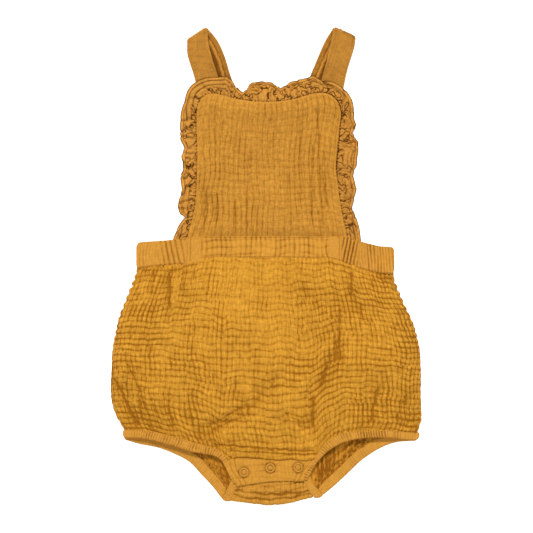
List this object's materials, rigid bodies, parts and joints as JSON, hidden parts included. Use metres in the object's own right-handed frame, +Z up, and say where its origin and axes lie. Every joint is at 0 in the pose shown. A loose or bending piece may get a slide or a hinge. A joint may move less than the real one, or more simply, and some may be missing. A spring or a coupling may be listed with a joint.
{
  "type": "baby romper",
  "caption": "Sleeveless bubble romper laid flat: ruffled bib, crossed straps, elastic waist and leg bindings, snapped crotch.",
  "frame": {"origin": "middle of the garment's outline on the surface that it lies on", "axes": "+X to the picture's right, +Y from the crotch to the straps, +Z up from the surface to the garment's front"},
  "size_m": [0.2967, 0.4547, 0.0162],
  "materials": {
    "gauze": "ochre double gauze cotton, crinkled",
    "gauze_binding": "ochre double gauze gathered on elastic",
    "gauze_smooth": "ochre double gauze pressed flat, stitched",
    "gauze_ruffle": "ochre gauze, gathered, with a rolled hem",
    "painted_snap": "ochre lacquered ring cap, satin"
  },
  "bodies": {
    "root": {"shorts_back": "gauze", "crotch_wrap": "gauze", "shorts_front": "gauze", "leg_binding_left": "gauze_binding", "leg_binding_right": "gauze_binding", "placket_front": "gauze_smooth", "snap_left": "painted_snap", "snap_middle": "painted_snap", "snap_right": "painted_snap", "waistband_elastic": "gauze_binding", "waistband_front": "gauze_smooth", "strap_left": "gauze_smooth", "strap_right": "gauze_smooth", "bib": "gauze", "bib_ruffle": "gauze_ruffle"}
  },
  "joints": []
}
